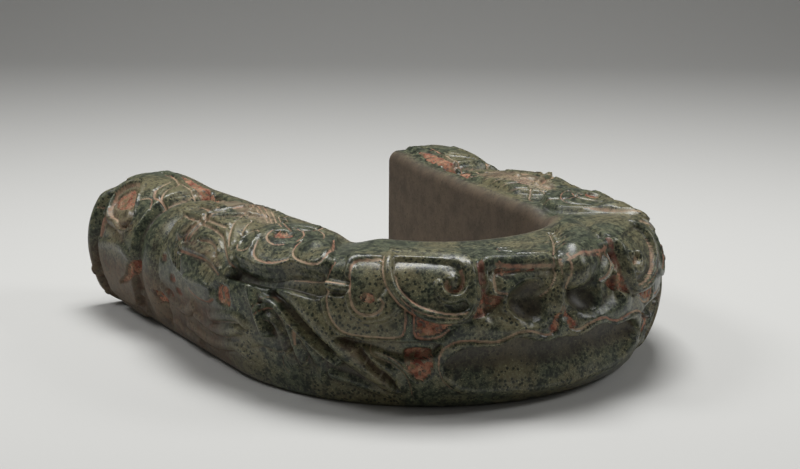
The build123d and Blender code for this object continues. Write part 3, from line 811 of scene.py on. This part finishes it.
def carve_arm_top(c):
    """The long panel and the slanting feathers on the flat top of the arm."""
    c.groove([(512, 174), (490, 177), (450, 178), (410, 177), (392, 172)], 2.2, 1.2, pale=0.9)
    c.groove([(498, 154), (470, 153), (440, 152.6), (410, 154), (396, 158)], 2.0, 1.1, pale=0.7)
    for k in range(6):
        start = 386 - 17 * k
        c.groove([(start, 181), (start - 12, 176), (start - 20, 168)], 1.9, 1.0, pale=0.6)
    c.groove([(286, 182), (300, 176), (312, 166)], 2.2, 1.0, pale=0.7)
    c.groove([(272, 182), (262, 172), (256, 160), (262, 150)], 2.2, 1.0, pale=0.6)


RECESSES = {
    "fang_pigment": (FANG, 1.0),
    "eye_ground_pigment": ([(49, 117), (36, 115.6), (20, 114.2), (16, 112.4), (34, 112.6), (47, 110.6), (50.5, 113)], 0.4),
    "cheek_pigment": ([(58.5, 99), (63.5, 97), (67, 88), (71, 82.8), (60, 85), (51, 90), (48, 95), (56, 95.5)], 0.4),
    "scroll_hook_pigment": (
        [(75.6, 112), (75.4, 106), (78, 101.4), (83, 99.6), (88, 101), (90, 105), (86.4, 106.4), (82, 102.6), (78.4, 107)],
        0.4,
    ),
    "step_plate_pigment": ([(151, 95), (148, 91.4), (142, 91), (138.6, 94), (141, 98), (147, 99)], 0.5),
    "lower_cheek_pigment": (CHEEK_TRIANGLE, 1.3),
    "mouth_corner_pigment": ([(118, 56), (101, 57), (97.6, 50), (98.4, 41), (104, 35), (110, 34), (115, 39), (118, 47)], 3.0),
    "spiral_hollow_pigment": (SPIRAL_HOLLOW, 3.0),
    "haunch_foot_pigment": (RED_BARS, 1.4),
    "collar_foot_pigment": (COLLAR_FOOT, 2.0),
    "arm_hollow_pigment": (ARM_HOLLOW, 2.0),
    "arm_end_pigment": (RED_RECESS, 2.6),
    "arm_top_pigment": (ARM_TOP, 1.6),
}


def carve_recesses(c):
    for outline, depth in RECESSES.values():
        c.raise_area(outline, -depth, edge=2.2, red=0.5)


def carve_end_edges(c, yoke):
    """Rounds the whole section off where the arm is cut."""
    radius = 3.0
    over = np.clip(c.x - (yoke.length - radius), 0, radius)
    c.lift -= radius - np.sqrt(radius**2 - over**2)
    c.nearest_edge = np.minimum(c.nearest_edge, np.maximum(yoke.length - radius - c.x, 0) + 0.5)


def carved(yoke, around, row, sizes):
    """All the carving at many places of the section's rows."""
    c = Carving(around, yoke.up_from_row(around, row), sizes)
    for part in (
        carve_ground,
        carve_eyes,
        carve_cheek_band,
        carve_brow,
        carve_nose,
        carve_mouth,
        carve_foreleg,
        carve_lower_plate,
        carve_step_plate,
        carve_big_scroll,
        carve_strap,
        carve_spiral,
        carve_haunch,
        carve_lower_side,
        carve_collar,
        carve_end_head,
        carve_flange,
        carve_arm_top,
        carve_recesses,
    ):
        part(c)
    face = (1 - ease(FACE_ROWS - 2.5, FACE_ROWS - 0.5, row)) * ease(0.3, 2.5, row)
    c.lift *= face
    c.pale *= face
    c.red *= face
    c.nearest_edge = np.where(row < FACE_ROWS - 0.5, c.nearest_edge, FAR_AWAY)
    carve_end_edges(c, yoke)
    return c


# Meshes


def new_piece(name, bm, node, material, shade_smooth=True):
    """Makes an object of the bmesh that rides on the yoke and stands for a node."""
    mesh = bpy.data.meshes.new(name)
    for face in bm.faces:
        face.smooth = shade_smooth
    bm.to_mesh(mesh)
    bm.free()
    mesh.materials.append(material)
    piece = bpy.data.objects.new(name, mesh)
    bpy.context.scene.collection.objects.link(piece)
    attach(piece, BODY)
    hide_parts(node)
    return piece


def flat_places(bm):
    return np.array([vert.co for vert in bm.verts])


def refine(bm, yoke, sizes, reach):
    """Divides the cells that lie near a carved edge."""
    bm.faces.ensure_lookup_table()
    centres = np.array([face.calc_center_median() for face in bm.faces])
    c = carved(yoke, centres[:, 0], centres[:, 1], sizes)
    edges = set()
    for index in np.nonzero(c.nearest_edge < reach)[0]:
        edges.update(bm.faces[index].edges)
    bmesh.ops.subdivide_edges(bm, edges=list(edges), cuts=1, use_grid_fill=True)


def neighbour_mean(values, edges, rounds):
    """Values averaged with their neighbours, several times."""
    mean = values.copy()
    counts = np.bincount(edges.ravel(), minlength=len(values)).astype(float)
    for _ in range(rounds):
        total = np.bincount(edges[:, 0], weights=mean[edges[:, 1]], minlength=len(values))
        total += np.bincount(edges[:, 1], weights=mean[edges[:, 0]], minlength=len(values))
        mean = total / np.maximum(counts, 1)
    return mean


def stone_mesh(yoke, sizes):
    """The carved surface as a closed tube of sections, finer near the carving, and its marks, painted shade among them.
    """
    bm = bmesh.new()
    rows = FACE_ROWS + WALL_ROWS
    columns = 2 * round(yoke.length / sizes.cell)
    bmesh.ops.create_grid(bm, x_segments=columns, y_segments=rows, size=1.0)
    bmesh.ops.scale(bm, vec=(yoke.length, rows / 2, 1.0), verts=bm.verts)
    bmesh.ops.translate(bm, vec=(0.0, rows / 2, 0.0), verts=bm.verts)
    refine(bm, yoke, sizes, 2.6)
    refine(bm, yoke, sizes, 0.85)
    places = flat_places(bm)
    c = carved(yoke, places[:, 0], places[:, 1], sizes)
    wear = ease(FACE_ROWS - 1.0, FACE_ROWS + 3.0, places[:, 1])
    edges = np.array([[vert.index for vert in edge.verts] for edge in bm.edges])
    # The hollow mark is painted shade in creases and recesses, darker the deeper a place lies below its neighbours,
    # with the brown patina of the recesses in it; cuts deeper than 6 mm, such as the mouth, get extra painted shade.
    hollow = neighbour_mean(c.lift, edges, 8) - c.lift + 0.16 * np.maximum(-c.lift - 6.0, 0)
    low_side = ease(256, 300, c.x) * (1 - ease(56, 82, c.y)) * (1 - ease(FACE_ROWS, FACE_ROWS + 1, places[:, 1]))
    # The lower side of the arm gets painted shade through the hollow mark; it is also made rough brown and red-stained.
    hollow = hollow + 1.0 * low_side
    wear = np.maximum(wear, 0.6 * low_side)
    c.red = np.maximum(c.red, 0.34 * low_side)
    spots = yoke.place(places[:, 0], places[:, 1], c.lift)
    layers = {name: bm.verts.layers.float.new(name) for name in ("pale", "red", "hollow", "wear")}
    marks = {"pale": c.pale, "red": c.red, "hollow": hollow, "wear": wear}
    for vert, spot in zip(bm.verts, spots):
        vert.co = spot
    for name, layer in layers.items():
        values = marks[name]
        for vert in bm.verts:
            vert[layer] = values[vert.index]
    bmesh.ops.remove_doubles(bm, verts=bm.verts, dist=1e-5)
    open_edges = [edge for edge in bm.edges if edge.is_boundary]
    ends = bmesh.ops.holes_fill(bm, edges=open_edges, sides=0)["faces"]
    for face in ends:
        for vert in face.verts:
            vert[layers["wear"]] = 0.6
    bmesh.ops.recalc_face_normals(bm, faces=bm.faces)
    return bm


def deposit_mesh(yoke, sizes, outline, side):
    """A thin uneven crust on the floor of a recess, whose edges dive into the stone."""
    line = smooth_line(outline, closed=True)
    low = line.min(0) - 1.0
    high = line.max(0) + 1.0
    cell = 1.3
    counts = [max(3, round((high[axis] - low[axis]) / cell)) for axis in (0, 1)]
    bm = bmesh.new()
    bmesh.ops.create_grid(bm, x_segments=counts[0], y_segments=counts[1], size=0.5)
    bmesh.ops.scale(bm, vec=(high[0] - low[0], high[1] - low[1], 1.0), verts=bm.verts)
    bmesh.ops.translate(bm, vec=((low[0] + high[0]) / 2, (low[1] + high[1]) / 2, 0.0), verts=bm.verts)
    places = flat_places(bm)
    probe = Carving(places[:, 0], places[:, 1], sizes)
    distance, inside = probe.measure(line, 4.0)
    keep = set(np.nonzero(inside | (distance < 0.9))[0])
    bmesh.ops.delete(bm, geom=[vert for vert in bm.verts if vert.index not in keep], context="VERTS")
    loose = [vert for vert in bm.verts if not vert.link_faces]
    bmesh.ops.delete(bm, geom=loose, context="VERTS")
    bm.verts.ensure_lookup_table()
    bm.verts.index_update()
    places = flat_places(bm)
    probe = Carving(places[:, 0], places[:, 1], sizes)
    distance, inside = probe.measure(line, 4.0)
    around = places[:, 0] * side
    row = yoke.row_from_up(around, places[:, 1])
    floor = carved(yoke, around, row, sizes).lift
    rough = np.array([noise.noise(Vector((x * 0.35, y * 0.35, 3.0))) for x, y in places[:, :2]])
    crust = sizes.crust * ease(0.2, 2.4, np.where(inside, distance, 0)) * (0.55 + 1.7 * rough) - 0.2
    top = yoke.place(around, row, floor + crust)
    under = yoke.place(around, row, floor - 0.9)
    crown = list(bm.verts)
    made = bmesh.ops.extrude_face_region(bm, geom=list(bm.faces), use_keep_orig=True)["geom"]
    base = [item for item in made if isinstance(item, bmesh.types.BMVert)]
    nearest = {(round(vert.co.x, 3), round(vert.co.y, 3)): index for index, vert in enumerate(crown)}
    for vert in base:
        vert.co = under[nearest[(round(vert.co.x, 3), round(vert.co.y, 3))]]
    for vert, spot in zip(crown, top):
        vert.co = spot
    bmesh.ops.recalc_face_normals(bm, faces=bm.faces)
    return bm


# Materials


class Wire:
    """A shader socket whose arithmetic adds Math nodes."""

    def __init__(self, shader, socket):
        self.shader = shader
        self.socket = socket

    def maths(self, operation, first, second=0.0, clamp=False):
        return self.shader.node("ShaderNodeMath", {"operation": operation, "use_clamp": clamp}, {0: first, 1: second})

    def __add__(self, other):
        return self.maths("ADD", self, other)

    __radd__ = __add__

    def __sub__(self, other):
        return self.maths("SUBTRACT", self, other)

    def __rsub__(self, other):
        return self.maths("SUBTRACT", other, self)

    def __mul__(self, other):
        return self.maths("MULTIPLY", self, other)

    __rmul__ = __mul__

    def __truediv__(self, other):
        return self.maths("DIVIDE", self, other)

    def __pow__(self, other):
        return self.maths("POWER", self, other)

    def clamped(self):
        return self.maths("ADD", self, 0.0, clamp=True)


class Shader:
    """A material's node tree, with one method that adds any node."""

    def __init__(self, name):
        self.material = bpy.data.materials.new(name)
        self.material.use_nodes = True
        self.tree = self.material.node_tree
        self.tree.nodes.clear()
        self.output = self.tree.nodes.new("ShaderNodeOutputMaterial")
        self.place = self.node("ShaderNodeTexCoord", output="Object")

    def node(self, kind, settings=None, inputs=None, output=0):
        made = self.tree.nodes.new(kind)
        for name, value in (settings or {}).items():
            if name == "stops":
                self.set_stops(made.color_ramp, value)
            else:
                setattr(made, name, value)
        for name, value in (inputs or {}).items():
            if isinstance(value, Wire):
                self.tree.links.new(value.socket, made.inputs[name])
            else:
                made.inputs[name].default_value = value
        return Wire(self, made.outputs[output])

    def set_stops(self, ramp, stops):
        while len(ramp.elements) < len(stops):
            ramp.elements.new(0.5)
        for element, (position, value) in zip(ramp.elements, stops):
            element.position = position
            element.color = (value, value, value, 1.0)

    def step(self, value, low, high):
        """0 below low and 1 above high, smoothly; or the other way round."""
        inputs = {0: value, 1: low, 2: high, 3: 0.0, 4: 1.0}
        if low > high:
            inputs = {0: value, 1: high, 2: low, 3: 1.0, 4: 0.0}
        return self.node("ShaderNodeMapRange", {"interpolation_type": "SMOOTHSTEP"}, inputs)

    def noise(self, scale, detail=3.0, roughness=0.55, distortion=0.0):
        inputs = {"Vector": self.place, "Scale": scale, "Detail": detail, "Roughness": roughness, "Distortion": distortion}
        return self.node("ShaderNodeTexNoise", None, inputs, output=0)

    def cells(self, scale, output="Distance"):
        inputs = {"Vector": self.place, "Scale": scale}
        return self.node("ShaderNodeTexVoronoi", None, inputs, output=output)

    def mark(self, name):
        return self.node("ShaderNodeAttribute", {"attribute_name": name}, output="Fac")

    def mix(self, share, first, second, blend="MIX"):
        def full(colour):
            return colour if isinstance(colour, Wire) else (*colour, 1.0)

        inputs = {0: share, 6: full(first), 7: full(second)}
        return self.node("ShaderNodeMix", {"data_type": "RGBA", "blend_type": blend}, inputs, output=2)

    def bump(self, height, strength, distance, normal=None):
        inputs = {"Height": height, "Strength": strength, "Distance": distance}
        if normal:
            inputs["Normal"] = normal
        return self.node("ShaderNodeBump", None, inputs)

    def surface(self, inputs):
        shader = self.node("ShaderNodeBsdfPrincipled", None, inputs)
        self.tree.links.new(shader.socket, self.output.inputs["Surface"])
        return self.material


def greenstone(colours):
    """Dark speckled greenstone, polished on the carved face, with pigment in its lines and painted shade in its hollows
    and on the arm's lower side.
    """
    s = Shader("greenstone")
    clouds = s.noise(22.0, 3.0)
    mottling = s.noise(170.0, 4.0, 0.65)
    flecks = s.noise(520.0, 3.0, 0.6)
    grains = s.noise(1150.0, 2.0, 0.6)
    body = s.mix(s.step(mottling + flecks * 0.6, 0.64, 0.92), colours.dark, colours.green)
    body = s.mix(s.step(clouds + mottling * 0.5, 0.66, 0.9) * 0.7, body, colours.olive)
    body = s.mix(s.step(flecks, 0.5, 0.62) * s.step(clouds, 0.35, 0.6) * 0.45, body, colours.sage)
    body = s.mix(s.step(grains, 0.6, 0.68) * s.step(mottling, 0.42, 0.6) * 0.9, body, colours.fleck)
    specks = s.cells(330.0)
    crystals = s.step(specks + grains * 0.3, 0.56, 0.44) * s.step(s.noise(80.0, 2.0) + flecks * 0.4, 0.56, 0.7)
    body = s.mix(crystals * 0.95, body, colours.dark)
    wear = s.mark("wear")
    streaks = s.noise(60.0, 5.0, 0.7)
    brown = s.mix(s.step(streaks, 0.35, 0.7), colours.brown, tuple(0.6 * part for part in colours.brown))
    brown = s.mix(s.step(flecks, 0.55, 0.7) * 0.5, brown, colours.dark)
    body = s.mix((wear * 0.92).clamped(), body, brown)
    # Painted shade: the hollow mark darkens creases, recesses, deep cuts and the arm's lower side to a dark brown,
    # which in the creases also stands for their patina.
    hollow = s.mark("hollow")
    shade_and_patina = s.step(hollow, 0.5, 2.2) * 0.6
    body = s.mix(shade_and_patina, body, tuple(0.4 * part for part in colours.brown))
    patchy = s.noise(150.0, 4.0, 0.7)
    broken = s.step(patchy, 0.4, 0.56)
    pale = s.mark("pale")
    line = (s.step(pale, 0.1, 0.6) * (broken * 0.55 + 0.4)).clamped()
    tint = s.mix(s.step(clouds + patchy * 0.3, 0.5, 0.75), colours.salmon, colours.pale)
    body = s.mix(line, body, tint)
    red = s.mark("red")
    stain = (s.step(red, 0.15, 0.8) * (s.step(patchy, 0.36, 0.6) * 0.65 + 0.15)).clamped()
    body = s.mix(stain, body, s.mix(s.step(patchy, 0.5, 0.7), colours.red, colours.salmon))
    matte = (wear * 0.8 + line * 0.6 + stain * 0.6 + shade_and_patina * 0.4).clamped()
    roughness = (matte * 0.55 + 0.22 + flecks * 0.24).clamped()
    height = flecks * 0.5 + grains * 0.25 + patchy * 0.5
    relief = s.bump(height, 0.3, 0.0005)
    return s.surface({"Base Color": body, "Roughness": roughness, "Normal": relief, "Specular IOR Level": 0.45})


def residue(colours):
    """Powdery pigment, salmon and cream with deep red patches, rubbed down to the stone in places."""
    s = Shader("red_pigment")
    clouds = s.noise(110.0, 4.0, 0.65)
    grains = s.noise(700.0, 3.0, 0.65)
    body = s.mix(s.step(clouds, 0.36, 0.54), colours.red, colours.salmon)
    body = s.mix(s.step(clouds + grains * 0.3, 0.66, 0.84) * 0.8, body, colours.pale)
    body = s.mix(s.step(grains, 0.52, 0.66) * 0.6, body, colours.dark)
    body = s.mix(s.step(s.noise(190.0, 3.0), 0.5, 0.64) * 0.7, body, colours.olive)
    relief = s.bump(grains + clouds * 0.5, 0.5, 0.0006)
    return s.surface({"Base Color": body, "Roughness": 0.85, "Normal": relief, "Specular IOR Level": 0.25})


def plain(name, colour, roughness):
    s = Shader(name)
    return s.surface({"Base Color": (*colour, 1.0), "Roughness": roughness, "Specular IOR Level": 0.2})


# Operators


class YokeStone(bpy.types.Operator):
    """Makes the carved stone"""

    bl_idname = "yoke.make_stone"
    bl_label = "Make the carved stone"

    def execute(self, context):
        sizes = context.scene.yoke_sizes
        yoke = Yoke(sizes)
        bm = stone_mesh(yoke, sizes)
        new_piece("yoke_stone", bm, "carved_stone", greenstone(context.scene.yoke_colours))
        return {"FINISHED"}


class YokePigment(bpy.types.Operator):
    """Makes the residue of red pigment in the recesses"""

    bl_idname = "yoke.make_pigment"
    bl_label = "Make the red pigment"

    def execute(self, context):
        sizes = context.scene.yoke_sizes
        yoke = Yoke(sizes)
        material = residue(context.scene.yoke_colours)
        for side_name, side in SIDES:
            for name, (outline, _) in RECESSES.items():
                bm = deposit_mesh(yoke, sizes, outline, side)
                node = f"{side_name}_{name}"
                new_piece(f"{node}_crust", bm, node, material)
        return {"FINISHED"}


class YokeStage(bpy.types.Operator):
    """Makes the floor, the lights and the camera"""

    bl_idname = "yoke.make_stage"
    bl_label = "Make the stage"

    def execute(self, context):
        scene = context.scene
        self.make_floor(scene.yoke_colours)
        centre = Vector((0.0, (cad_low.y + cad_high.y) / 2, 0.05))
        self.make_lamp("key", centre + Vector((0.15, 0.25, 1.6)), centre, 0.8, 27.0)
        self.make_lamp("left", centre + Vector((-1.0, 0.5, 1.3)), centre, 0.5, 7.0)
        self.make_lamp("right", centre + Vector((1.2, -0.7, 1.0)), centre, 0.5, 6.0)
        self.make_world(scene)
        self.make_camera(scene)
        scene.view_settings.view_transform = "Standard"
        return {"FINISHED"}

    def make_floor(self, colours):
        bm = bmesh.new()
        bmesh.ops.create_grid(bm, x_segments=1, y_segments=1, size=3.0)
        back = [edge for edge in bm.edges if all(vert.co.y > 0 for vert in edge.verts)]
        made = bmesh.ops.extrude_edge_only(bm, edges=back)["geom"]
        verts = [item for item in made if isinstance(item, bmesh.types.BMVert)]
        bmesh.ops.translate(bm, vec=(0.0, 0.6, 2.5), verts=verts)
        corner = [edge for edge in bm.edges if len(edge.link_faces) == 2]
        bmesh.ops.bevel(bm, geom=corner, offset=1.2, segments=24, profile=0.5, affect="EDGES", material=-1)
        bmesh.ops.rotate(bm, cent=(0, 0, 0), matrix=Matrix.Rotation(math.radians(-31.5), 3, "Z"), verts=bm.verts)
        for face in bm.faces:
            face.smooth = True
        mesh = bpy.data.meshes.new("floor")
        bm.to_mesh(mesh)
        bm.free()
        mesh.materials.append(plain("floor", colours.floor, 0.8))
        floor = bpy.data.objects.new("floor", mesh)
        bpy.context.scene.collection.objects.link(floor)

    def make_lamp(self, name, spot, target, size, power):
        light = bpy.data.lights.new(name, "AREA")
        light.size = size
        light.energy = power
        lamp = bpy.data.objects.new(name, light)
        lamp.location = spot
        lamp.rotation_mode = "QUATERNION"
        lamp.rotation_quaternion = (target - spot).to_track_quat("-Z", "Y")
        bpy.context.scene.collection.objects.link(lamp)

    def make_world(self, scene):
        world = bpy.data.worlds.new("studio")
        world.use_nodes = True
        background = world.node_tree.nodes["Background"]
        background.inputs["Color"].default_value = (1.0, 0.98, 0.95, 1.0)
        background.inputs["Strength"].default_value = 0.12
        scene.world = world

    def make_camera(self, scene):
        """The photo's camera, seen from the bend's centre on the floor."""
        azimuth = math.radians(31.53)
        elevation = math.radians(13.18)
        roll = math.radians(0.43)
        distance = 1.228
        aside = -0.02094
        height = 0.088
        bend_centre = Vector((0.0, cad_high.y - scene.yoke_sizes.arm_length / 1000, 0.0))
        back = Vector(
            (
                -math.sin(azimuth) * math.cos(elevation),
                -math.cos(azimuth) * math.cos(elevation),
                math.sin(elevation),
            )
        )
        right = Vector((math.cos(azimuth), -math.sin(azimuth), 0.0))
        up = back.cross(right)
        camera_data = bpy.data.cameras.new("camera")
        camera_data.lens = 69.55
        camera_data.sensor_width = 36.0
        camera_data.clip_end = 50.0
        camera = bpy.data.objects.new("camera", camera_data)
        turn = Matrix((right, up, back)).transposed()
        camera.rotation_mode = "QUATERNION"
        camera.rotation_quaternion = (turn @ Matrix.Rotation(roll, 3, "Z")).to_quaternion()
        camera.location = bend_centre + right * aside + Vector((0.0, 0.0, height)) + back * distance
        scene.collection.objects.link(camera)
        scene.camera = camera


class YokePanel(bpy.types.Panel):
    bl_label = "Carved stone yoke"
    bl_idname = "VIEW3D_PT_yoke"
    bl_space_type = "VIEW_3D"
    bl_region_type = "UI"
    bl_category = "Yoke"

    def draw(self, context):
        for group in (context.scene.yoke_sizes, context.scene.yoke_colours):
            for name in group.__annotations__:
                self.layout.prop(group, name)
        for operator in (YokeStone, YokePigment, YokeStage):
            self.layout.operator(operator.bl_idname)


CLASSES = (YokeSizes, YokeColours, YokeStone, YokePigment, YokeStage, YokePanel)


def register():
    for item in CLASSES:
        bpy.utils.register_class(item)
    bpy.types.Scene.yoke_sizes = PointerProperty(type=YokeSizes)
    bpy.types.Scene.yoke_colours = PointerProperty(type=YokeColours)


def unregister():
    del bpy.types.Scene.yoke_colours
    del bpy.types.Scene.yoke_sizes
    for item in reversed(CLASSES):
        bpy.utils.unregister_class(item)


def main():
    register()
    bpy.ops.yoke.make_stone()
    bpy.ops.yoke.make_pigment()
    bpy.ops.yoke.make_stage()


if __name__ == "__main__":
    main()
